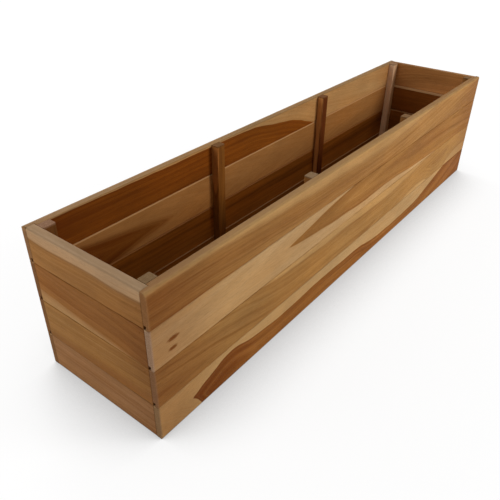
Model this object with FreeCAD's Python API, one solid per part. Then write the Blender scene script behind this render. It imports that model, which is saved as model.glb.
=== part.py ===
import FreeCAD, Part
import os

os.makedirs("parts", exist_ok=True)

Vector = FreeCAD.Vector
UP = Vector(0, 0, 1)

# A long, narrow window box of oiled hardwood, four boards high on every side.
# The origin is the middle of the underside: X runs along the box from the left end
# to the right, Y from the front wall to the back, Z up. Millimetres.

planter_length = 1000.0
planter_width = 215.0
board_thickness = 13.0

# Height of wall that each board covers, from the ground up; both middle boards are alike.
bottom_cover = 55.0
middle_cover = 59.5
top_cover = 51.0

# Tongue along the top of a board, groove along the underside of the one above it.
tongue_thickness = 4.0
tongue_height = 5.0
tongue_side_clearance = 0.2
groove_tip_gap = 1.0
inside_bevel = 1.5
outside_bevel = 0.7

# Eased arrises of the rim.
rim_outer_radius = 3.0
rim_inner_radius = 1.5

# Corner rebate: the lip of the long boards laps the ends of the end boards.
corner_lip = 8.0
end_board_clearance = 0.25

# Corner posts and wall battens are cut from one moulding, broad side to the long walls.
upright_width = 17.5
upright_depth = 13.0
upright_bevel = 0.8

# Slatted floor on cross bearers.
bearer_width = 20.0
bearer_height = 20.0
bearer_bevel = 1.5
floor_thickness = 12.0
floor_bevel = 1.0
floor_gap = 3.0
floor_edge_clearance = 1.0
drain_hole_radius = 6.0

# Headless flat-wire brads, driven a little below the surface.
brad_width = 1.3
brad_thickness = 1.1
brad_point = 1.5
brad_set = 1.0
board_left_over_brad = 4.0
end_brad_inset = 3.5
end_brad_drop = 9.0
end_brad_bite = 6.5
floor_brad_bite = 13.0
bearer_brad_bite = 10.0

half_length = planter_length / 2
half_width = planter_width / 2
inner_half_length = half_length - board_thickness
inner_half_width = half_width - board_thickness
floor_top = bearer_height + floor_thickness

# Name, underside and top of each course of boards.
lower_seam = bottom_cover + middle_cover
upper_seam = lower_seam + middle_cover
planter_height = upper_seam + top_cover
COURSES = (
    ("bottom", 0.0, bottom_cover),
    ("lower", bottom_cover, lower_seam),
    ("upper", lower_seam, upper_seam),
    ("top", upper_seam, planter_height),
)

# Uprights by side, with the X of their centres: posts in the corners, battens between
# them at an even pitch.
post_centre = inner_half_length - upright_width / 2
UPRIGHTS = (
    ("left_post", -post_centre),
    ("left_batten", -post_centre / 3),
    ("right_batten", post_centre / 3),
    ("right_post", post_centre),
)

# A bearer lies under each pair of uprights, the outer ones tight against the end walls.
bearer_centre = inner_half_length - bearer_width / 2
BEARERS = (
    ("left_end", -bearer_centre),
    ("left_middle", -post_centre / 3),
    ("right_middle", post_centre / 3),
    ("right_end", bearer_centre),
)

# Walls, as the turn and the shift that stand a board of the front wall in each of them.
WALLS = {
    "front": (0.0, Vector(0, -half_width, 0)),
    "back": (180.0, Vector(0, half_width, 0)),
    "left_end": (-90.0, Vector(-half_length, 0, 0)),
    "right_end": (90.0, Vector(half_length, 0, 0)),
}


def stand_in_wall(piece, wall):
    """Turn and shift a piece drawn against the plane Y = 0, outer face first, to its wall."""
    turn, shift = WALLS[wall]
    placed = piece.copy()
    placed.rotate(Vector(0, 0, 0), UP, turn)
    placed.translate(shift)
    return placed


def extruded(outline, start, length):
    """Run a closed YZ outline along X."""
    points = [Vector(start, y, z) for y, z in outline]
    return Part.Face(Part.makePolygon(points + points[:1])).extrude(Vector(length, 0, 0))


def edges_along_x(piece, y, z):
    """Edges that run along X at the given depth and height."""
    found = []
    for edge in piece.Edges:
        box = edge.BoundBox
        if box.XLength < 1 or box.YLength > 0.01 or box.ZLength > 0.01:
            continue
        if abs(box.YMin - y) < 0.01 and abs(box.ZMin - z) < 0.01:
            found.append(edge)
    return found


def underside_outline(low):
    """Lower half of a board's section from the outer face inwards, grooved above a seam."""
    if low == 0:
        return [(0, outside_bevel), (outside_bevel, 0),
                (board_thickness - outside_bevel, 0), (board_thickness, outside_bevel)]
    side = (board_thickness - tongue_thickness) / 2 - tongue_side_clearance
    depth = tongue_height + groove_tip_gap
    return [(0, low + outside_bevel), (outside_bevel, low), (side, low),
            (side, low + depth), (board_thickness - side, low + depth),
            (board_thickness - side, low), (board_thickness - inside_bevel, low),
            (board_thickness, low + inside_bevel)]


def topside_outline(high):
    """Upper half of a board's section from the inner face outwards, tongued under a seam."""
    if high == planter_height:
        return [(board_thickness, high), (0, high)]
    side = (board_thickness - tongue_thickness) / 2
    return [(board_thickness, high - inside_bevel), (board_thickness - inside_bevel, high),
            (board_thickness - side, high), (board_thickness - side, high + tongue_height),
            (side, high + tongue_height), (side, high), (outside_bevel, high),
            (0, high - outside_bevel)]


def wall_board(low, high, length):
    """A tongue-and-groove board on the plane Y = 0, centred on X = 0."""
    board = extruded(underside_outline(low) + topside_outline(high), -length / 2, length)
    if high == planter_height:
        board = board.makeFillet(rim_outer_radius, edges_along_x(board, 0, high))
        board = board.makeFillet(rim_inner_radius, edges_along_x(board, board_thickness, high))
    return board


def long_board(low, high):
    """A board of the front or back wall, rebated at each end to take the end boards.

    Its tongue stops short of the rebate, so the end of the groove above it stays open.
    """
    board = wall_board(low, high, planter_length)
    reach = board_thickness - corner_lip
    for start in (-half_length, inner_half_length):
        rebate = Part.makeBox(board_thickness, reach, high - low, Vector(start, corner_lip, low))
        tongue_end = Part.makeBox(board_thickness, board_thickness, tongue_height,
                                  Vector(start, 0, high))
        board = board.cut([rebate, tongue_end])
    return board


def end_board(low, high):
    """A board of an end wall, held between the lips of the long boards."""
    return wall_board(low, high, 2 * (half_width - corner_lip - end_board_clearance))


def upright(centre):
    """A post or batten against the inside of a long wall, standing on its bearer."""
    inner = board_thickness + upright_depth
    left = centre - upright_width / 2
    right = centre + upright_width / 2
    plan = [Vector(left, board_thickness, bearer_height),
            Vector(right, board_thickness, bearer_height),
            Vector(right, inner - upright_bevel, bearer_height),
            Vector(right - upright_bevel, inner, bearer_height),
            Vector(left + upright_bevel, inner, bearer_height),
            Vector(left, inner - upright_bevel, bearer_height)]
    foot = Part.Face(Part.makePolygon(plan + plan[:1]))
    return foot.extrude(UP * (planter_height - bearer_height))


def bearer(centre):
    """A cross bearer between the long walls, eased along its lower arrises."""
    half = bearer_width / 2
    plan = [Vector(centre - half + bearer_bevel, -inner_half_width, 0),
            Vector(centre + half - bearer_bevel, -inner_half_width, 0),
            Vector(centre + half, -inner_half_width, bearer_bevel),
            Vector(centre + half, -inner_half_width, bearer_height),
            Vector(centre - half, -inner_half_width, bearer_height),
            Vector(centre - half, -inner_half_width, bearer_bevel)]
    return Part.Face(Part.makePolygon(plan + plan[:1])).extrude(Vector(0, 2 * inner_half_width, 0))


def drain_holes(row):
    """Drain holes of one floor board: one in each bay, or two in the middle board."""
    bay = 2 * post_centre / 3
    shares = (-1 / 6, 1 / 6) if row == 0 else (0,)
    places = [bay * (number + share) for number in (-1, 0, 1) for share in shares]
    return [Part.makeCylinder(drain_hole_radius, floor_thickness,
                              Vector(x, floor_row_centre(row), bearer_height)) for x in places]


def floor_board_width():
    """Width of each of the three floor boards that share the inside of the box."""
    return (2 * (inner_half_width - floor_edge_clearance) - 2 * floor_gap) / 3


def floor_row_centre(row):
    """Y of a floor board's centre line; row is -1 at the front, 0 or 1 at the back."""
    return row * (floor_board_width() + floor_gap)


def floor_board(row):
    """A floor board on the bearers, notched round the uprights of its own wall."""
    half = floor_board_width() / 2
    middle = floor_row_centre(row)
    shoulder = floor_top - floor_bevel
    outline = [(middle - half, bearer_height), (middle + half, bearer_height),
               (middle + half, shoulder), (middle + half - floor_bevel, floor_top),
               (middle - half + floor_bevel, floor_top), (middle - half, shoulder)]
    reach = inner_half_length - floor_edge_clearance
    board = extruded(outline, -reach, 2 * reach)
    cuts = drain_holes(row)
    if row != 0:
        wide = upright_width + 2 * floor_edge_clearance
        deep = upright_depth + floor_edge_clearance
        near = min(row * inner_half_width, row * (inner_half_width - deep))
        for name, centre in UPRIGHTS:
            corner = Vector(centre - wide / 2, near, bearer_height)
            cuts.append(Part.makeBox(wide, deep, floor_thickness, corner))
    return board.cut(cuts)


def driven(place, from_surface):
    """Flat-wire body with a chisel point, from a depth below the surface to its tip."""
    start, direction, grain, length = place
    across = direction.cross(grain)
    outline = [(-brad_width / 2, from_surface), (brad_width / 2, from_surface),
               (brad_width / 2, length - brad_point), (0, length),
               (-brad_width / 2, length - brad_point)]
    corner = start - across * (brad_thickness / 2)
    points = [corner + grain * along + direction * depth for along, depth in outline]
    return Part.Face(Part.makePolygon(points + points[:1])).extrude(across * brad_thickness)


def brads(places):
    """The brads of one kind."""
    return Part.Compound([driven(place, brad_set) for place in places])


def brad_holes(places):
    """Their holes, open where the brads were set."""
    return [driven(place, 0) for place in places]


def wall_brad_places():
    """Two brads a board through every upright, set on a slant so that they miss each other."""
    length = upright_depth + board_thickness - board_left_over_brad
    places = []
    for side in (-1, 1):
        for name, x in UPRIGHTS:
            outward = upright_width / 4 if x > 0 else -upright_width / 4
            for course, low, high in COURSES:
                foot = max(low, bearer_height)
                for share, offset in ((0.25, outward), (0.75, -outward)):
                    start = Vector(x + offset, side * (inner_half_width - upright_depth),
                                   foot + share * (high - foot))
                    places.append((start, Vector(0, side, 0), Vector(1, 0, 0), length))
    return places


def end_brad_places():
    """Brads through the end boards into the corner posts."""
    y = inner_half_width - end_brad_inset
    length = board_thickness + end_brad_bite
    places = []
    for end in (-1, 1):
        for side in (-1, 1):
            for course, low, high in COURSES:
                drop = (high - low) / 2 if high == planter_height else end_brad_drop
                start = Vector(end * half_length, side * y, high - drop)
                places.append((start, Vector(-end, 0, 0), Vector(0, 1, 0), length))
    return places


def floor_brad_places():
    """Two brads down through each floor board into each bearer, clear of its notches."""
    length = floor_thickness + floor_brad_bite
    edge = floor_board_width() / 2
    notch = inner_half_width - upright_depth - floor_edge_clearance
    places = []
    for row, near, far in ((-1, -notch, -edge - floor_gap), (0, -edge, edge),
                           (1, edge + floor_gap, notch)):
        for name, x in BEARERS:
            for share in (0.25, 0.75):
                start = Vector(x, near + share * (far - near), floor_top)
                places.append((start, -UP, Vector(1, 0, 0), length))
    return places


def bearer_brad_places():
    """Two brads up through the bearers into the foot of each upright."""
    length = bearer_height + bearer_brad_bite
    middle = inner_half_width - upright_depth / 2
    shift = upright_depth / 4
    return [(Vector(x, side * (middle + offset), 0), UP, Vector(0, 1, 0), length)
            for name, x in UPRIGHTS for side in (-1, 1) for offset in (-shift, shift)]


def drilled(piece, holes):
    """Cut the holes that reach a piece out of it."""
    reaching = [hole for hole in holes if piece.BoundBox.intersect(hole.BoundBox)]
    if reaching:
        piece = piece.cut(reaching)
    return piece.Solids[0]


def build():
    """All the pieces of the planter by name."""
    wall_places = wall_brad_places()
    end_places = end_brad_places()
    floor_places = floor_brad_places()
    bearer_places = bearer_brad_places()
    wall_holes = brad_holes(wall_places + end_places)
    upright_holes = wall_holes + brad_holes(bearer_places)
    bearer_holes = brad_holes(floor_places + bearer_places)

    pieces = {}
    for course, low, high in COURSES:
        for wall in ("front", "back"):
            board = stand_in_wall(long_board(low, high), wall)
            pieces[wall + "_board_" + course] = drilled(board, wall_holes)
        for wall in ("left_end", "right_end"):
            board = stand_in_wall(end_board(low, high), wall)
            pieces[wall + "_board_" + course] = drilled(board, wall_holes)
    for name, x in UPRIGHTS:
        front = stand_in_wall(upright(x), "front")
        back = stand_in_wall(upright(-x), "back")
        pieces["front_" + name] = drilled(front, upright_holes)
        pieces["back_" + name] = drilled(back, upright_holes)
    for name, x in BEARERS:
        pieces["floor_bearer_" + name] = drilled(bearer(x), bearer_holes)
    for name, row in (("front", -1), ("middle", 0), ("back", 1)):
        pieces["floor_board_" + name] = drilled(floor_board(row), bearer_holes)

    pieces["wall_brads"] = brads(wall_places)
    pieces["end_board_brads"] = brads(end_places)
    pieces["floor_brads"] = brads(floor_places)
    pieces["bearer_brads"] = brads(bearer_places)
    return pieces


for node, shape in build().items():
    shape.exportStep("parts/" + node + ".step")
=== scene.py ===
import bpy
import bmesh
from mathutils import Matrix, Vector


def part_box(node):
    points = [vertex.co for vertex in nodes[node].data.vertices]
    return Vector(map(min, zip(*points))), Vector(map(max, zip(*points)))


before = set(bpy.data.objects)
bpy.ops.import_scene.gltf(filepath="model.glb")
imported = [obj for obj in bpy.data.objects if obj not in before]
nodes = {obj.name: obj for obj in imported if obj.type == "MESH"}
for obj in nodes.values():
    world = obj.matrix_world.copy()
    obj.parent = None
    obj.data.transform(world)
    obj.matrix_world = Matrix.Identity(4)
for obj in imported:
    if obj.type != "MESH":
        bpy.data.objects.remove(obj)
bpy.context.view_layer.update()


# ---- Long boards of the front wall ------------------------------------------------------
# Four teak boards, planed, tongued and grooved, then wiped with oil. Each is sawn from its
# own log, so each has its own line where the brown heartwood meets the pale sapwood.

LENGTH, WIDTH, HEIGHT = 1.0, 0.215, 0.225
END_BOARD_LENGTH = 0.1985

# The axis of the frame that runs along, across and through a board in each place.
FRONT_BACK_BOARD = (0, 2, 1)
END_BOARD = (1, 2, 0)
UPRIGHT = (2, 0, 1)
FLOOR_BOARD = (0, 1, 2)
BEARER = (1, 0, 2)


def srgb(red, green, blue):
    """A colour as it looks on a screen, 0 to 255, made linear."""
    def linear(part):
        part = part / 255
        return part / 12.92 if part <= 0.04045 else ((part + 0.055) / 1.055) ** 2.4
    return (linear(red), linear(green), linear(blue), 1.0)


PALE = srgb(190, 154, 110)
KNOT = srgb(120, 62, 4)
# Painted shade for the dark seams and the joints at the boards' ends.
JOINT_SHADE_COLOUR = srgb(64, 34, 12)
# Painted highlight for the upper bevels of the boards inside the box.
BEVEL_HIGHLIGHT_COLOUR = srgb(206, 164, 116)

# What multiplies the wood's colour where it varies, is paled on the outside (the darker inside
# being partly painted shade), soaks up oil or is sawn across.
WARM_TINT = (1.0, 0.95, 0.8, 1)
COOL_TINT = (0.97, 1.0, 0.98, 1)
# Paler outer faces of the back and far end, whose darker inside colours are partly painted
# shade.
OUTSIDE_TINT = (1.16, 1.28, 1.5, 1)
SOAKED_TINT = (0.7, 0.58, 0.5, 1)
END_PORE_TINT = (0.52, 0.47, 0.42, 1)

# How fine each figure of the wood is, in noise cells to the metre along, across and through.
WAVER_CELLS = (7, 26, 26)
BAND_CELLS = (1.3, 62, 5)
LINE_CELLS = (2.6, 240, 12)
HAIR_CELLS = (9, 1100, 60)
FIBRE_CELLS = (60, 2400, 2400)
PORE_CELLS = (120, 3600, 3600)
MOTTLE_CELLS = (8, 20, 20)
HUE_CELLS = (3.5, 12, 12)
KNOT_CELLS = (260, 900, 900)
PATCH_CELLS = (9, 40, 40)
SPECK_CELLS = (700, 1300, 1300)

# The edge of the heartwood, in metres, and how far it moves across for each metre through.
WAVER_WIDTH = 0.009
EDGE_ROUNDING = 0.006
EDGE_FUZZ = 0.0024
STAIN_WIDTH = 0.004
RING_LEAN = 0.45

# How much the bands, lines and hairs darken the heartwood and the sapwood.
HEART_FIGURE = (0.5, 0.42, 0.3)
SAP_FIGURE = (0.14, 0.16, 0.14)

# Where each kind of wear and the painted shade in the joints fade out, in metres from a
# board's outer face, ends or sides.
SKIN = (0.003, 0.006)
SOAKED_END = (0.0, 0.14)
SAWN_EDGE = (0.0002, 0.0035)
SEAM_EDGE = (0.0002, 0.002)
LAP_EDGE = (0.0, 0.0016)

KNOT_RAGGEDNESS = 1.6
KNOT_FADE = (0.1, 1.2, 0.92, 0.0)
GRAIN_DEPTH = 0.00022
GRAIN_BUMP = 0.6
OILED_SPECULAR = 0.08


def new_group(name, inputs, outputs):
    """An empty shader group with named sockets, and its input and output nodes."""
    tree = bpy.data.node_groups.new(name, "ShaderNodeTree")
    for label, kind, value in inputs:
        socket = tree.interface.new_socket(name=label, in_out="INPUT", socket_type=kind)
        if value is not None:
            socket.default_value = value
    for label, kind in outputs:
        tree.interface.new_socket(name=label, in_out="OUTPUT", socket_type=kind)
    return tree, tree.nodes.new("NodeGroupInput"), tree.nodes.new("NodeGroupOutput")


def feed(tree, socket, value):
    """Link a socket to another, or set its value."""
    if isinstance(value, bpy.types.NodeSocket):
        tree.links.new(value, socket)
    elif value is not None:
        socket.default_value = value


def new_material(name):
    """A material, its tree and its Principled shader."""
    material = bpy.data.materials.new(name)
    material.use_nodes = True
    tree = material.node_tree
    return material, tree, tree.nodes["Principled BSDF"]


def maths(tree, operation, first, second=None, third=None, clamp=False):
    """One step of arithmetic on values or sockets."""
    node = tree.nodes.new("ShaderNodeMath")
    node.operation = operation
    node.use_clamp = clamp
    for socket, value in zip(node.inputs, (first, second, third)):
        feed(tree, socket, value)
    return node.outputs[0]


def stretch(tree, vector, scale, shift=(0, 0, 0)):
    """A vector scaled and shifted for a texture."""
    node = tree.nodes.new("ShaderNodeMapping")
    feed(tree, node.inputs["Vector"], vector)
    node.inputs["Scale"].default_value = scale
    feed(tree, node.inputs["Location"], shift)
    return node.outputs[0]


def cloud(tree, vector, detail=3.0, rough=0.55):
    """Noise from 0 to 1."""
    node = tree.nodes.new("ShaderNodeTexNoise")
    feed(tree, node.inputs["Vector"], vector)
    node.inputs["Scale"].default_value = 1.0
    node.inputs["Detail"].default_value = detail
    node.inputs["Roughness"].default_value = rough
    return node.outputs["Fac"]


def between(tree, value, low, high, to_low=0.0, to_high=1.0, smooth=True):
    """A value ranged from low..high to to_low..to_high."""
    node = tree.nodes.new("ShaderNodeMapRange")
    node.interpolation_type = "SMOOTHSTEP" if smooth else "LINEAR"
    for label, item in (("Value", value), ("From Min", low), ("From Max", high),
                        ("To Min", to_low), ("To Max", to_high)):
        feed(tree, node.inputs[label], item)
    return node.outputs["Result"]


def blend_colours(tree, share, first, second, how="MIX"):
    """The first colour where the share is 0, and the second where it is 1."""
    node = tree.nodes.new("ShaderNodeMix")
    node.data_type = "RGBA"
    node.blend_type = how
    feed(tree, node.inputs[0], share)
    feed(tree, node.inputs[6], first)
    feed(tree, node.inputs[7], second)
    return node.outputs[2]


def tinted(tree, colour, tint):
    """A colour multiplied by a tint."""
    return blend_colours(tree, 1.0, colour, tint, "MULTIPLY")


def join(tree, x, y, z):
    """Three values as one vector."""
    node = tree.nodes.new("ShaderNodeCombineXYZ")
    for socket, value in zip(node.inputs, (x, y, z)):
        feed(tree, socket, value)
    return node.outputs[0]


def split(tree, vector):
    """The three values of a vector."""
    node = tree.nodes.new("ShaderNodeSeparateXYZ")
    feed(tree, node.inputs[0], vector)
    return node.outputs


def spread(tree, value):
    """Noise stretched so that it uses the whole range from 0 to 1."""
    return between(tree, value, 0.34, 0.66, smooth=False)


def make_teak_grain():
    """Growth lines that run beside the edge of the heartwood, fibre and pores.

    Place is metres along, across and through the board; the two edges are where the
    heartwood ends across the board at that place along it, and Softness how wide they are.
    """
    colour = "NodeSocketColor"
    number = "NodeSocketFloat"
    tree, given, made = new_group("Teak grain", (
        ("Place", "NodeSocketVector", None),
        ("Upper Edge", number, 0.3),
        ("Lower Edge", number, -0.3),
        ("Softness", number, 0.0016),
        ("Heartwood", colour, (0.3, 0.13, 0.04, 1)),
        ("Dark Heartwood", colour, (0.14, 0.05, 0.014, 1)),
        ("Sapwood", colour, (0.5, 0.3, 0.13, 1)),
        ("Darkness", number, 0.4),
        ("Seed", number, 0.0),
    ), (("Colour", colour), ("Roughness", number), ("Height", number)))
    place = given.outputs["Place"]
    seed = given.outputs["Seed"]
    offset = join(tree, maths(tree, "MULTIPLY", seed, 3.17),
                  maths(tree, "MULTIPLY", seed, 7.31),
                  maths(tree, "MULTIPLY", seed, 1.93))
    along, across, through = split(tree, place)

    # Distance into the heartwood from its nearer edge, wavering as the log grew.
    waver = cloud(tree, stretch(tree, place, WAVER_CELLS, offset), 3.0)
    waver = maths(tree, "MULTIPLY_ADD", waver, WAVER_WIDTH, -WAVER_WIDTH / 2)
    above = maths(tree, "SUBTRACT", given.outputs["Upper Edge"], across)
    below = maths(tree, "SUBTRACT", across, given.outputs["Lower Edge"])
    depth = maths(tree, "ADD", maths(tree, "SMOOTH_MIN", above, below, EDGE_ROUNDING), waver)
    depth = maths(tree, "MULTIPLY_ADD", through, RING_LEAN, depth)

    # Growth lines, from broad bands to fine lines, drawn out along the board.
    ring = join(tree, along, depth, through)
    bands = spread(tree, cloud(tree, stretch(tree, ring, BAND_CELLS, offset), 2.5, 0.6))
    lines = spread(tree, cloud(tree, stretch(tree, ring, LINE_CELLS, offset), 4.0, 0.65))
    hairs = spread(tree, cloud(tree, stretch(tree, ring, HAIR_CELLS, offset), 3.0, 0.65))
    fibre = spread(tree, cloud(tree, stretch(tree, place, FIBRE_CELLS, offset), 2.0, 0.6))
    pores = cloud(tree, stretch(tree, place, PORE_CELLS, offset), 2.0, 0.5)
    pores = between(tree, pores, 0.6, 0.7)
    mottle = spread(tree, cloud(tree, stretch(tree, place, MOTTLE_CELLS, offset), 3.0, 0.6))
    hue = spread(tree, cloud(tree, stretch(tree, place, HUE_CELLS, offset), 2.0, 0.6))

    # The edge of the heartwood is ragged by the growth lines, and stained just inside.
    fuzz = maths(tree, "MULTIPLY_ADD", lines, EDGE_FUZZ, -EDGE_FUZZ / 2)
    fuzzy = maths(tree, "ADD", depth, fuzz)
    half = maths(tree, "MULTIPLY", given.outputs["Softness"], 0.5)
    heart = between(tree, fuzzy, maths(tree, "MULTIPLY", half, -1.0), half)

    def figure(band, line, hair):
        mixed = maths(tree, "MULTIPLY_ADD", bands, band, maths(tree, "MULTIPLY", lines, line))
        return maths(tree, "MULTIPLY_ADD", hairs, hair, mixed)

    darker = maths(tree, "ADD", given.outputs["Darkness"], -sum(HEART_FIGURE) / 2)
    tone = maths(tree, "ADD", figure(*HEART_FIGURE), darker)
    stain = between(tree, depth, 0.0, STAIN_WIDTH, 0.2, 0.0)
    tone = maths(tree, "ADD", tone, stain, clamp=True)
    heart_colour = blend_colours(tree, tone, given.outputs["Heartwood"],
                                 given.outputs["Dark Heartwood"])
    sap_colour = blend_colours(tree, figure(*SAP_FIGURE), given.outputs["Sapwood"],
                               given.outputs["Heartwood"])
    wood = blend_colours(tree, heart, sap_colour, heart_colour)

    # Warmer and cooler, darker and lighter parts, with pores as short dark strokes.
    wood = tinted(tree, wood, blend_colours(tree, hue, WARM_TINT, COOL_TINT))
    shade = maths(tree, "MULTIPLY_ADD", mottle, 0.2, 0.9)
    shade = maths(tree, "MULTIPLY", shade, maths(tree, "MULTIPLY_ADD", fibre, 0.24, 0.88))
    shade = maths(tree, "MULTIPLY", shade, maths(tree, "MULTIPLY_ADD", pores, -0.3, 1.0))
    grey = tree.nodes.new("ShaderNodeCombineColor")
    for socket in grey.inputs:
        feed(tree, socket, shade)
    wood = tinted(tree, wood, grey.outputs[0])

    rough = maths(tree, "MULTIPLY_ADD", lines, 0.14, 0.6)
    rough = maths(tree, "MULTIPLY_ADD", pores, 0.15, rough, clamp=True)
    height = maths(tree, "MULTIPLY_ADD", lines, 0.5, maths(tree, "MULTIPLY", fibre, 0.5))
    height = maths(tree, "MULTIPLY_ADD", pores, -0.8, height)
    feed(tree, made.inputs["Colour"], wood)
    feed(tree, made.inputs["Roughness"], rough)
    feed(tree, made.inputs["Height"], height)
    return tree


def make_wear():
    """Painted shade along the joints, sawn ends, painted highlights on bevels and arris, and a
    rim greyed by weather and a painted sheen.

    Place is as for the grain, with Low Side and High Side the board's two long edges.
    """
    colour = "NodeSocketColor"
    number = "NodeSocketFloat"
    tree, given, made = new_group("Joints, ends and rim", (
        ("Colour", colour, (0.5, 0.5, 0.5, 1)),
        ("Roughness", number, 0.6),
        ("Place", "NodeSocketVector", None),
        ("Low Side", number, 0.0),
        ("High Side", number, 0.3),
        ("Half Length", number, 0.5),
        ("Seam Shade", number, 0.0),
        ("End Joint Shade", number, 0.0),
        ("Sawn End", number, 0.0),
        ("End Soak", number, 0.0),
        ("Sawn Colour", colour, (0.46, 0.29, 0.2, 1)),
        ("Bevel Highlight", number, 0.0),
        ("Bevel Width", number, 0.0017),
        ("Paler Outside", number, 0.0),
        ("Rim", number, 0.0),
        ("Rim Colour", colour, (0.34, 0.22, 0.12, 1)),
        ("Arris Highlight Colour", colour, (0.5, 0.36, 0.18, 1)),
        ("Seed", number, 0.0),
    ), (("Colour", colour), ("Roughness", number)))
    given = given.outputs
    along, across, through = split(tree, given["Place"])
    offset = join(tree, given["Seed"], given["Seed"], 0.0)
    patches = spread(tree, cloud(
        tree, stretch(tree, given["Place"], PATCH_CELLS, offset), 4.0, 0.7))
    specks = spread(tree, cloud(
        tree, stretch(tree, given["Place"], SPECK_CELLS, offset), 2.0, 0.6))
    from_end = maths(tree, "SUBTRACT", given["Half Length"], maths(tree, "ABSOLUTE", along))
    from_top = maths(tree, "SUBTRACT", given["High Side"], across)
    from_low = maths(tree, "SUBTRACT", across, given["Low Side"])
    from_side = maths(tree, "MINIMUM", from_low, from_top)

    # The outside of some boards is paler than the inside, whose darker colour is partly
    # painted shade; the ends drink more oil and go browner.
    outside = between(tree, through, *SKIN, 1.0, 0.0)
    paler_outside = blend_colours(tree, maths(tree, "MULTIPLY", outside, given["Paler Outside"]),
                             given["Colour"], tinted(tree, given["Colour"], OUTSIDE_TINT))
    soaked = maths(tree, "MULTIPLY", between(tree, from_end, *SOAKED_END, 1.0, 0.0),
                   given["End Soak"])
    wood = blend_colours(tree, soaked, paler_outside, tinted(tree, paler_outside, SOAKED_TINT))

    # Sawn ends show the pores as specks.
    sawn = maths(tree, "MULTIPLY", between(tree, from_end, *SAWN_EDGE, 1.0, 0.0),
                 given["Sawn End"])
    end_colour = blend_colours(tree, specks, given["Sawn Colour"],
                               tinted(tree, given["Sawn Colour"], END_PORE_TINT))
    wood = blend_colours(tree, sawn, wood, end_colour)

    # Painted shade darkens the seams, here and there, and where the end boards meet the long
    # ones.
    grime = maths(tree, "MULTIPLY", between(tree, from_side, *SEAM_EDGE, 1.0, 0.0), outside)
    grime = maths(tree, "MULTIPLY", grime, maths(
        tree, "MULTIPLY", given["Seam Shade"], between(tree, patches, 0.2, 0.9, 0.25, 1.0)))
    end_joint_shade = maths(tree, "MULTIPLY", between(tree, from_end, *LAP_EDGE, 1.0, 0.0),
                      given["End Joint Shade"])
    grime = maths(tree, "MAXIMUM", grime, end_joint_shade)
    wood = blend_colours(tree, grime, wood, JOINT_SHADE_COLOUR)

    # Inside the box a painted highlight makes the bevel on a board's upper edge paler than its
    # face.
    width = given["Bevel Width"]
    bevel = maths(tree, "MULTIPLY", between(
        tree, from_top, maths(tree, "MULTIPLY", width, 0.8),
        maths(tree, "MULTIPLY", width, 1.2), 1.0, 0.0), given["Bevel Highlight"])
    bevel = maths(tree, "MULTIPLY", bevel, maths(tree, "SUBTRACT", 1.0, outside))
    wood = blend_colours(tree, bevel, wood, BEVEL_HIGHLIGHT_COLOUR)

    # The rim's upper side is greyed partly by weather and partly by a painted sheen, and its
    # outer arris gets a pale painted highlight.
    rim = maths(tree, "MULTIPLY", between(tree, across, HEIGHT - 0.0022, HEIGHT - 0.0004),
                given["Rim"])
    rim = maths(tree, "MULTIPLY", rim, maths(tree, "MULTIPLY_ADD", patches, 0.3, 0.5))
    wood = blend_colours(tree, rim, wood, given["Rim Colour"])
    arris = between(tree, maths(tree, "SUBTRACT", across, through),
                    HEIGHT - 0.0055, HEIGHT - 0.0025)
    arris = maths(tree, "MULTIPLY", arris, given["Rim"])
    arris = maths(tree, "MULTIPLY", arris, maths(tree, "MULTIPLY", patches, 0.6))
    wood = blend_colours(tree, arris, wood, given["Arris Highlight Colour"])
    rough = maths(tree, "MULTIPLY_ADD", maths(tree, "MAXIMUM", sawn, grime), 0.2,
                  given["Roughness"], clamp=True)
    feed(tree, made.inputs["Colour"], wood)
    feed(tree, made.inputs["Roughness"], rough)
    return tree


TEAK_GRAIN = make_teak_grain()
BOARD_WEAR = make_wear()


def line_along(tree, position, points, length, span=0.6):
    """A value that changes along a board, from a few points on its line.

    Each point is the share of the length, 0 to 1, and the value there, within span / 2.
    """
    curve = tree.nodes.new("ShaderNodeFloatCurve")
    feed(tree, curve.inputs["Value"], maths(tree, "MULTIPLY_ADD", position, 1 / length, 0.5))
    line = curve.mapping.curves[0]
    placed = [(share, value / span + 0.5) for share, value in points]
    line.points[0].location = placed[0]
    line.points[1].location = placed[-1]
    for location in placed[1:-1]:
        line.points.new(*location)
    curve.mapping.update()
    return maths(tree, "MULTIPLY_ADD", curve.outputs[0], span, -span / 2)


def off_centre(tree, position, centre, radius):
    """How many radii a position is from a centre, squared."""
    share = maths(tree, "DIVIDE", maths(tree, "SUBTRACT", position, centre), radius)
    return maths(tree, "POWER", share, 2.0)


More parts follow.
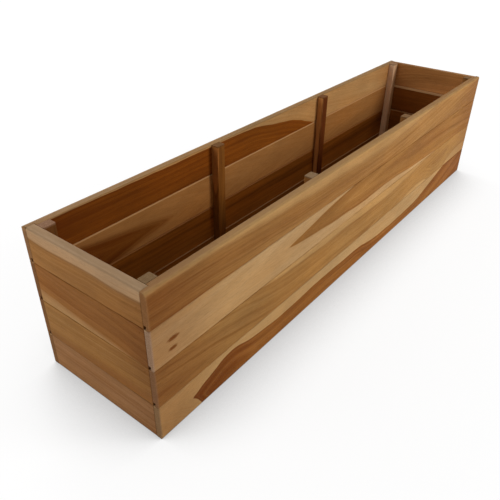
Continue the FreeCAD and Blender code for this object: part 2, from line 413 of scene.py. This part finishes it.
def teak(name, lie, seed, length, heart, dark, sap=PALE, darkness=0.4, soft=0.0016,
         upper=None, lower=None, face=(0, 0, 0), sides=(-1, 1), seam_grime=0.0,
         end_joint_shade=0.0, sawn_end=0.0, sawn_colour=None, end_soak=0.0, pale_bevel=0.0,
         bevel_width=0.0017, paler_outside=0.0, rim=0.0, rim_colour=None, arris_highlight_colour=None,
         grain_depth=GRAIN_DEPTH, knots=()):
    """The finish of one board: the shared grain, laid along it, with its own heartwood.

    Face is a point on its outer face. Upper and lower are the lines where the heartwood ends,
    and a knot is its place along and across, then its two radii.
    """
    material, tree, shader = new_material(name)
    coordinates = tree.nodes.new("ShaderNodeTexCoord")
    parts = split(tree, stretch(tree, coordinates.outputs["Object"], (1, 1, 1),
                                tuple(-item for item in face)))
    along, across, through = (parts[axis] for axis in lie)
    through = maths(tree, "ABSOLUTE", through)
    place = join(tree, along, across, through)
    grain = tree.nodes.new("ShaderNodeGroup")
    grain.node_tree = TEAK_GRAIN
    feed(tree, grain.inputs["Place"], place)
    if upper:
        feed(tree, grain.inputs["Upper Edge"], line_along(tree, along, upper, length))
    if lower:
        feed(tree, grain.inputs["Lower Edge"], line_along(tree, along, lower, length))
    if isinstance(darkness, tuple):
        darkness = line_along(tree, along, darkness, length, 2.0)
    feed(tree, grain.inputs["Darkness"], darkness)
    grain.inputs["Softness"].default_value = soft
    grain.inputs["Heartwood"].default_value = heart
    grain.inputs["Dark Heartwood"].default_value = dark
    grain.inputs["Sapwood"].default_value = sap
    grain.inputs["Seed"].default_value = seed
    wood = grain.outputs["Colour"]
    for centre_along, centre_across, long_radius, short_radius in knots:
        far = off_centre(tree, along, centre_along, long_radius)
        wide = off_centre(tree, across, centre_across, short_radius)
        ragged = cloud(tree, stretch(tree, place, KNOT_CELLS), 3.0, 0.6)
        far = maths(tree, "MULTIPLY_ADD", ragged, KNOT_RAGGEDNESS,
                    maths(tree, "ADD", far, -KNOT_RAGGEDNESS / 2))
        knot = between(tree, maths(tree, "ADD", far, wide), *KNOT_FADE)
        wood = blend_colours(tree, knot, wood, KNOT)
    wear = tree.nodes.new("ShaderNodeGroup")
    wear.node_tree = BOARD_WEAR
    feed(tree, wear.inputs["Colour"], wood)
    feed(tree, wear.inputs["Roughness"], grain.outputs["Roughness"])
    feed(tree, wear.inputs["Place"], place)
    for label, value in (("Low Side", sides[0]), ("High Side", sides[1]),
                         ("Half Length", length / 2), ("Seam Shade", seam_grime),
                         ("End Joint Shade", end_joint_shade), ("Sawn End", sawn_end),
                         ("Sawn Colour", sawn_colour), ("End Soak", end_soak),
                         ("Bevel Highlight", pale_bevel), ("Bevel Width", bevel_width),
                         ("Paler Outside", paler_outside), ("Rim", rim), ("Rim Colour", rim_colour),
                         ("Arris Highlight Colour", arris_highlight_colour), ("Seed", seed)):
        feed(tree, wear.inputs[label], value)
    feed(tree, shader.inputs["Base Color"], wear.outputs["Colour"])
    feed(tree, shader.inputs["Roughness"], wear.outputs["Roughness"])
    bump = tree.nodes.new("ShaderNodeBump")
    bump.inputs["Strength"].default_value = GRAIN_BUMP
    bump.inputs["Distance"].default_value = grain_depth
    feed(tree, bump.inputs["Height"], grain.outputs["Height"])
    feed(tree, shader.inputs["Normal"], bump.outputs[0])
    shader.inputs["Specular IOR Level"].default_value = OILED_SPECULAR
    return material


def finish_node(node, material):
    """Give a CAD node a finish."""
    mesh = nodes[node].data
    mesh.materials.clear()
    mesh.materials.append(material)


# The seams below and above each course; the rim is no seam, so the top one has none above.
COURSES = {"bottom": (0.0, 0.055), "lower": (0.055, 0.1145), "upper": (0.1145, 0.174),
           "top": (0.174, 1.0)}
# How strong the painted highlight on each course's upper bevel is.
BEVEL_HIGHLIGHT_SHARES = {"bottom": 0.35, "lower": 0.12, "upper": 0.5, "top": 0.0}

# The rim's upper side, greyed by weather and a painted sheen, and the painted highlight on its
# arris, on each wall; the near end's paler and far end's darker colours are partly painted
# light and shade.
RIMS = {"front": (srgb(140, 106, 68), srgb(188, 148, 92)),
        "back": (srgb(122, 94, 60), srgb(176, 136, 86)),
        "left_end": (srgb(136, 112, 84), srgb(182, 152, 118)),
        "right_end": (srgb(120, 86, 52), srgb(150, 110, 70))}


def finish_board(wall, course, seed, **figure):
    """Finish one board of a wall, with painted shade in its seams and, on the top one, a
    greyed rim with a painted sheen and a painted highlight on its arris.
    """
    if wall in ("front", "back"):
        lie, length, end_joint_shade, soak = FRONT_BACK_BOARD, LENGTH, 0.0, 0.7
        face = (0, -WIDTH / 2 if wall == "front" else WIDTH / 2, 0)
    else:
        lie, length, end_joint_shade, soak = END_BOARD, END_BOARD_LENGTH, 0.5, 0.0
        face = (-LENGTH / 2 if wall == "left_end" else LENGTH / 2, 0, 0)
    rim_colour, arris_highlight_colour = RIMS[wall]
    kept = dict(face=face, sides=COURSES[course], end_joint_shade=end_joint_shade, end_soak=soak,
                seam_grime=0.6, pale_bevel=BEVEL_HIGHLIGHT_SHARES[course],
                paler_outside=1.0 if wall in ("back", "right_end") else 0.0,
                rim=1.0 if course == "top" else 0.0, rim_colour=rim_colour,
                arris_highlight_colour=arris_highlight_colour)
    kept.update(figure)
    finish_node(wall + "_board_" + course, teak(
        wall.replace("_", " ") + " " + course + " teak", lie, seed, length, **kept))


finish_board("front", "top", 1.0, heart=srgb(173, 126, 71), dark=srgb(132, 83, 37),
             sap=srgb(184, 142, 92), soft=0.014, sawn_end=0.6, sawn_colour=srgb(166, 120, 76),
             darkness=((0, 0.75), (0.15, 0.6), (0.4, 0.5), (0.7, 0.4), (1, 0.3)),
             upper=((0, 0.224), (0.12, 0.219), (0.25, 0.212), (0.4, 0.207), (0.55, 0.207),
                    (0.7, 0.217), (0.85, 0.235), (1, 0.25)))
finish_board("front", "upper", 2.3, heart=srgb(174, 122, 62), dark=srgb(134, 84, 36),
             sap=srgb(192, 154, 110), sawn_end=0.75, sawn_colour=srgb(176, 144, 120),
             seam_grime=0.35,
             darkness=((0, 0.4), (0.3, 0.3), (0.45, 0.4), (0.6, 0.45), (1, 0.3)),
             upper=((0, 0.116), (0.2, 0.134), (0.26, 0.147), (0.3, 0.153), (0.35, 0.1615),
                    (0.42, 0.1710), (0.6, 0.190), (1, 0.23)),
             lower=((0, 0.156), (0.2, 0.152), (0.26, 0.1472), (0.3, 0.1420), (0.36, 0.1360),
                    (0.43, 0.1315), (0.49, 0.1285), (0.56, 0.1285), (0.62, 0.1265),
                    (0.7, 0.1190), (0.78, 0.1165), (1, 0.105)),
             knots=((-0.467, 0.1440, 0.0112, 0.0038), (-0.4685, 0.1300, 0.0082, 0.0033)))
finish_board("front", "lower", 3.9, heart=srgb(174, 128, 72), dark=srgb(134, 86, 40),
             sap=srgb(190, 149, 98), soft=0.008, sawn_end=0.7, sawn_colour=srgb(146, 108, 78),
             seam_grime=0.4,
             darkness=((0, 0.75), (0.15, 0.55), (0.25, 0.45), (0.35, 0.3), (0.5, 0.3),
                       (0.6, 0.2), (0.75, 0.15), (0.82, 0.25), (0.9, 0.1), (1, 0)),
             upper=((0, 0.15), (0.15, 0.127), (0.21, 0.113), (0.25, 0.107), (0.3, 0.104),
                    (0.36, 0.1015), (0.45, 0.101), (0.5, 0.0985), (0.6, 0.0975), (0.65, 0.102),
                    (0.7, 0.1065), (0.76, 0.113), (0.85, 0.125), (1, 0.14)),
             lower=((0, 0), (0.5, 0.02), (0.6, 0.042), (0.66, 0.056), (0.7, 0.064),
                    (0.76, 0.064), (0.81, 0.05), (0.85, 0.05), (0.9, 0.068), (0.95, 0.078),
                    (1, 0.08)))
finish_board("front", "bottom", 5.2, heart=srgb(172, 114, 52), dark=srgb(118, 62, 12),
             sap=srgb(192, 154, 106), sawn_end=0.7, sawn_colour=srgb(142, 114, 84),
             seam_grime=0.4,
             darkness=((0, 0.9), (0.1, 1.0), (0.16, 0.8), (0.2, 0.5), (0.4, 0.4), (0.5, 0.5),
                       (0.6, 0.4), (0.8, 0.55), (1, 0.5)),
             upper=((0, 0.012), (0.056, 0.0228), (0.087, 0.034), (0.135, 0.0475),
                    (0.182, 0.0380), (0.25, 0.0325), (0.378, 0.0355), (0.45, 0.0320),
                    (0.49, 0.0310), (0.532, 0.0240), (0.6, 0.019), (0.7, 0.0210),
                    (0.742, 0.0228), (0.784, 0.031), (0.82, 0.0405), (0.868, 0.051),
                    (1, 0.09)),
             lower=((0, 0.06), (0.056, 0.0226), (0.065, 0.015), (0.073, 0.002), (0.09, -0.02),
                    (0.15, -0.05), (1, -0.2)))


# ---- Long boards of the back wall -------------------------------------------------------
# The same boards on the other side. Their inner faces show in the open box: the top one is
# red-brown at the left and pale at the right, and a dark wedge crosses the pale one below it.

finish_board("back", "top", 7.7, heart=srgb(150, 84, 20), dark=srgb(110, 54, 6),
             sap=srgb(196, 152, 100), sawn_end=0.8, sawn_colour=srgb(172, 130, 88),
             darkness=((0, 0.85), (0.3, 0.62), (0.42, 0.5), (0.5, 0.5), (1, 0.2)),
             upper=((0, 0.2165), (0.3, 0.2165), (0.4, 0.2155), (0.455, 0.2135), (0.5, 0.2055),
                    (0.57, 0.193), (0.61, 0.181), (0.645, 0.170), (0.7, 0.161), (1, 0.13)))
finish_board("back", "upper", 8.4, heart=srgb(134, 78, 26), dark=srgb(108, 54, 8),
             sap=srgb(170, 118, 66), soft=0.015, sawn_end=0.8, sawn_colour=srgb(152, 108, 68),
             pale_bevel=0.38,
             darkness=((0, 0.9), (0.12, 0.8), (0.2, 0.1), (1, 0.1)),
             upper=((0, 0.172), (0.07, 0.158), (0.11, 0.152), (0.18, 0.142), (0.205, 0.1366),
                    (0.28, 0.118), (1, 0.0)),
             lower=((0, 0.08), (0.10, 0.115), (0.14, 0.123), (0.18, 0.132), (0.205, 0.1362),
                    (0.28, 0.16), (1, 0.29)))
# This board and the bottom one are dark partly in their own wood and partly by painted shade
# deep in the box.
finish_board("back", "lower", 9.1, heart=srgb(152, 88, 26), dark=srgb(84, 40, 2),
             sap=srgb(176, 114, 46), soft=0.05, darkness=0.55, sawn_end=0.8,
             sawn_colour=srgb(152, 108, 68), lower=((0, 0.078), (0.5, 0.074), (1, 0.078)))
finish_board("back", "bottom", 10.6, heart=srgb(168, 108, 40), dark=srgb(112, 62, 14),
             darkness=0.4, sawn_end=0.8, sawn_colour=srgb(152, 112, 74), pale_bevel=0.75)


# ---- End boards -------------------------------------------------------------------------
# Four short boards at each end, held in the rebates of the long ones and bradded to the
# corner posts. The near end's boards are darker towards the front corner: painted shade, as
# less light falls there than towards the back.

finish_board("left_end", "top", 12.0, heart=srgb(172, 120, 66), dark=srgb(132, 86, 42),
             sap=srgb(196, 158, 122), soft=0.005, seam_grime=0.5,
             darkness=((0, 0.85), (0.25, 0.52), (0.5, 0.4), (1, 0.1)),
             upper=((0, 0.2115), (0.2, 0.2095), (0.42, 0.2110), (0.65, 0.2080), (0.8, 0.2070),
                    (1, 0.2100)))
finish_board("left_end", "upper", 13.0, heart=srgb(162, 106, 52), dark=srgb(128, 76, 30),
             sap=srgb(190, 144, 94), soft=0.016, seam_grime=0.55,
             darkness=((0, 0.85), (0.25, 0.48), (0.5, 0.35), (1, 0.15)),
             lower=((0, 0.108), (0.35, 0.118), (0.65, 0.1225), (1, 0.13)))
finish_board("left_end", "lower", 14.0, heart=srgb(172, 122, 66), dark=srgb(134, 84, 38),
             sap=srgb(132, 82, 38), soft=0.03, darkness=((0, 0.85), (0.25, 0.45), (1, 0.2)),
             lower=((0, 0.07), (1, 0.064)))
finish_board("left_end", "bottom", 15.0, heart=srgb(168, 120, 78), dark=srgb(134, 88, 50),
             darkness=((0, 0.7), (0.25, 0.45), (1, 0.25)), seam_grime=0.35)
finish_board("right_end", "top", 18.0, heart=srgb(196, 138, 82), dark=srgb(146, 90, 42),
             sap=srgb(222, 160, 104), soft=0.05, darkness=((0, 0.2), (0.5, 0.4), (1, 0.6)),
             lower=((0, 0.192), (0.6, 0.186), (1, 0.170)))
# The far end's three lower boards are dark partly in their own wood and partly by painted
# shade inside the box.
finish_board("right_end", "upper", 19.0, heart=srgb(138, 78, 26), dark=srgb(96, 50, 8),
             pale_bevel=0.85, bevel_width=0.005, darkness=((0, 0.5), (0.6, 0.4), (1, 0.05)))
finish_board("right_end", "lower", 20.0, heart=srgb(136, 80, 28), dark=srgb(98, 54, 14),
             pale_bevel=0.3, bevel_width=0.003)
finish_board("right_end", "bottom", 21.0, heart=srgb(146, 94, 44), dark=srgb(108, 64, 24))


# ---- Corner posts and battens -----------------------------------------------------------
# Square-edged sticks, flush with the rim, that the boards are bradded to. Some were sawn
# from the heart, some across its edge, and the far back one almost from the sapwood. The pale
# sapwood on the -X sides of the back battens and the far back post is partly painted light,
# for sides that the lamps barely reach.

STICK_FIGURE = {
    "front_left_post": dict(heart=srgb(150, 112, 70), dark=srgb(120, 84, 48),
                            sawn_colour=srgb(136, 110, 78)),
    "front_left_batten": dict(sawn_colour=srgb(150, 124, 94)),
    "back_left_post": dict(heart=srgb(112, 70, 32), dark=srgb(84, 48, 18),
                           sawn_colour=srgb(166, 128, 100)),
    # The sapwood edges that this batten, the next and the far post set on their -X sides are
    # partly painted light.
    "back_left_batten": dict(heart=srgb(138, 88, 36), dark=srgb(92, 48, 14),
                             sap=srgb(176, 114, 60), sawn_colour=srgb(124, 86, 48),
                             lower=((0, -0.03), (0.7, -0.015), (0.87, -0.0058),
                                    (1, -0.0056))),
    "back_right_batten": dict(heart=srgb(104, 52, 16), dark=srgb(78, 34, 6),
                              sap=srgb(214, 150, 88), lower=((0, -0.0052), (1, -0.0052)),
                              sawn_colour=srgb(128, 84, 46)),
    "back_right_post": dict(heart=srgb(196, 154, 116), dark=srgb(176, 132, 94),
                            sap=srgb(244, 206, 172), lower=((0, -0.004), (1, -0.004)),
                            sawn_colour=srgb(158, 122, 90)),
}
for number, wall in enumerate(("front", "back")):
    for step, stick in enumerate(("left_post", "left_batten", "right_batten", "right_post")):
        node = wall + "_" + stick
        low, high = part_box(node)
        figure = dict(heart=srgb(162, 114, 62), dark=srgb(118, 72, 32), sawn_end=0.9,
                      sawn_colour=srgb(136, 104, 70))
        figure.update(STICK_FIGURE.get(node, {}))
        # The ground is the middle of this length, so only the top is taken for a sawn end.
        finish_node(node, teak(
            node.replace("_", " ") + " teak", UPRIGHT, 25.0 + 4 * number + step, 2 * HEIGHT,
            face=((low.x + high.x) / 2, (low.y + high.y) / 2, 0), **figure))


# ---- Floor ------------------------------------------------------------------------------
# Three boards laid on cross bearers, notched round the posts and drilled to drain.

FLOOR_LENGTH = 0.972
BEARER_LENGTH = 0.189
ROUGH_GRAIN_DEPTH = 0.0004

for step, row in enumerate(("front", "middle", "back")):
    finish_node("floor_board_" + row, teak(
        "floor " + row + " teak", FLOOR_BOARD, 35.0 + step, FLOOR_LENGTH,
        heart=srgb(146, 98, 50), dark=srgb(104, 62, 26)))
for step, place in enumerate(("left_end", "left_middle", "right_middle", "right_end")):
    finish_node("floor_bearer_" + place, teak(
        "bearer " + place.replace("_", " ") + " teak", BEARER, 40.0 + step, BEARER_LENGTH,
        heart=srgb(150, 104, 56), dark=srgb(108, 66, 30), grain_depth=ROUGH_GRAIN_DEPTH))


# ---- Brads ------------------------------------------------------------------------------
# Headless brads cut from flat stainless wire, dulled by the oil and set below the surface.

WIRE_CELLS = (900, 900, 2200)


def wire_steel():
    """Dull steel, brushed in short strokes."""
    material, tree, shader = new_material("flat wire steel")
    coordinates = tree.nodes.new("ShaderNodeTexCoord")
    scratches = cloud(tree, stretch(tree, coordinates.outputs["Object"], WIRE_CELLS), 3.0)
    feed(tree, shader.inputs["Base Color"], blend_colours(
        tree, scratches, srgb(104, 100, 94), srgb(150, 146, 138)))
    feed(tree, shader.inputs["Roughness"], between(tree, scratches, 0.3, 0.7, 0.35, 0.6))
    shader.inputs["Metallic"].default_value = 1.0
    return material


steel = wire_steel()
for node in ("wall_brads", "end_board_brads", "floor_brads", "bearer_brads"):
    finish_node(node, steel)


# ---- Studio -----------------------------------------------------------------------------
# A pale floor that runs to the horizon, soft lamps to the front right and to the back, a
# weak one off the left end, and the camera above the near left corner.

FLOOR_REACH = 12
FLOOR_DROP = 0.0005
SHADOW_REACH = 0.16
OPEN_GLOW = 1.08
FAR_GLOW = 1.16
FAR_FLOOR = (0.7, 3.5)
GLOW_SHARE = 0.8
SKY_STRENGTH = 0.38
LAMPS = (("front lamp", (1.0, -1.9, 1.3), (0.1, 0, 0.1), 0.9, 32),
         ("back lamp", (0.8, 2.0, 1.2), (0, 0, 0.1), 1.0, 20),
         ("end lamp", (-1.35, 0.8, 0.95), (-0.4, 0, 0.1), 0.9, 6.8))
CAMERA_PLACE = (-0.7791, -0.4535, 0.5652)
CAMERA_AHEAD = (0.66286, 0.50763, -0.55039)
CAMERA_UP = (0.42853, 0.34558, 0.83483)
CAMERA_LENS = 39.36


def seen_or_mirrored(tree):
    """One for rays from the camera and for rays that a mirror or glass sends on."""
    path = tree.nodes.new("ShaderNodeLightPath").outputs
    mirrored = maths(tree, "ADD", path["Is Glossy Ray"], path["Is Transmission Ray"])
    return maths(tree, "ADD", path["Is Camera Ray"], mirrored, clamp=True)


def place_in_scene(name, data):
    """A new object of this data in the scene."""
    thing = bpy.data.objects.new(name, data)
    bpy.context.scene.collection.objects.link(thing)
    return thing


def studio_floor():
    """A wide floor that glows white to the camera, less so close to what stands on it, which
    paints a soft shadow there.
    """
    build = bmesh.new()
    bmesh.ops.create_grid(build, x_segments=1, y_segments=1, size=FLOOR_REACH)
    mesh = bpy.data.meshes.new("studio_floor")
    build.to_mesh(mesh)
    build.free()
    floor = place_in_scene("studio_floor", mesh)
    floor.location.z = -FLOOR_DROP
    material, tree, shader = new_material("pale floor")
    shader.inputs["Base Color"].default_value = (0.8, 0.8, 0.8, 1)
    shader.inputs["Roughness"].default_value = 0.9
    glow = tree.nodes.new("ShaderNodeEmission")
    glow.inputs["Color"].default_value = (1, 1, 1, 1)
    shelter = tree.nodes.new("ShaderNodeAmbientOcclusion")
    shelter.inputs["Distance"].default_value = SHADOW_REACH
    coordinates = tree.nodes.new("ShaderNodeTexCoord")
    away = tree.nodes.new("ShaderNodeVectorMath")
    away.operation = "LENGTH"
    feed(tree, away.inputs[0], coordinates.outputs["Object"])
    # Painted shadow: the glow fades where the box shelters the floor.
    near_glow = between(tree, shelter.outputs["AO"], 0.0, 0.9, 0.0, OPEN_GLOW)
    far_glow = between(tree, away.outputs["Value"], *FAR_FLOOR, 1.0, FAR_GLOW)
    feed(tree, glow.inputs["Strength"], maths(tree, "MULTIPLY", near_glow, far_glow))
    lit = tree.nodes.new("ShaderNodeMixShader")
    feed(tree, lit.inputs[0], maths(tree, "MULTIPLY", seen_or_mirrored(tree), GLOW_SHARE))
    tree.links.new(shader.outputs[0], lit.inputs[1])
    tree.links.new(glow.outputs[0], lit.inputs[2])
    tree.links.new(lit.outputs[0], tree.nodes["Material Output"].inputs["Surface"])
    mesh.materials.append(material)


def soft_lamp(name, place, target, size, power):
    """A round lamp that faces its target."""
    light = bpy.data.lights.new(name, "AREA")
    light.shape = "DISK"
    light.size = size
    light.energy = power
    lamp = place_in_scene(name, light)
    lamp.location = place
    lamp.rotation_mode = "QUATERNION"
    lamp.rotation_quaternion = (Vector(target) - Vector(place)).to_track_quat("-Z", "Y")


studio_floor()
for lamp in LAMPS:
    soft_lamp(*lamp)

world = bpy.data.worlds.new("studio")
bpy.context.scene.world = world
world.use_nodes = True
sky = world.node_tree
background = sky.nodes["Background"]
background.inputs["Color"].default_value = (1, 1, 1, 1)
feed(sky, background.inputs["Strength"], between(
    sky, seen_or_mirrored(sky), 0.0, 1.0, SKY_STRENGTH, 1.0, smooth=False))

camera_data = bpy.data.cameras.new("camera")
camera_data.lens = CAMERA_LENS
camera_data.sensor_width = 36.0
camera = place_in_scene("camera", camera_data)
forward = Vector(CAMERA_AHEAD).normalized()
upward = Vector(CAMERA_UP)
sideways = forward.cross(upward).normalized()
upward = sideways.cross(forward).normalized()
turn = Matrix((sideways, upward, -forward)).transposed()
camera.rotation_mode = "QUATERNION"
camera.rotation_quaternion = turn.to_quaternion()
camera.location = CAMERA_PLACE
camera_data.clip_start = 0.01
bpy.context.scene.camera = camera
bpy.context.scene.view_settings.view_transform = "Standard"
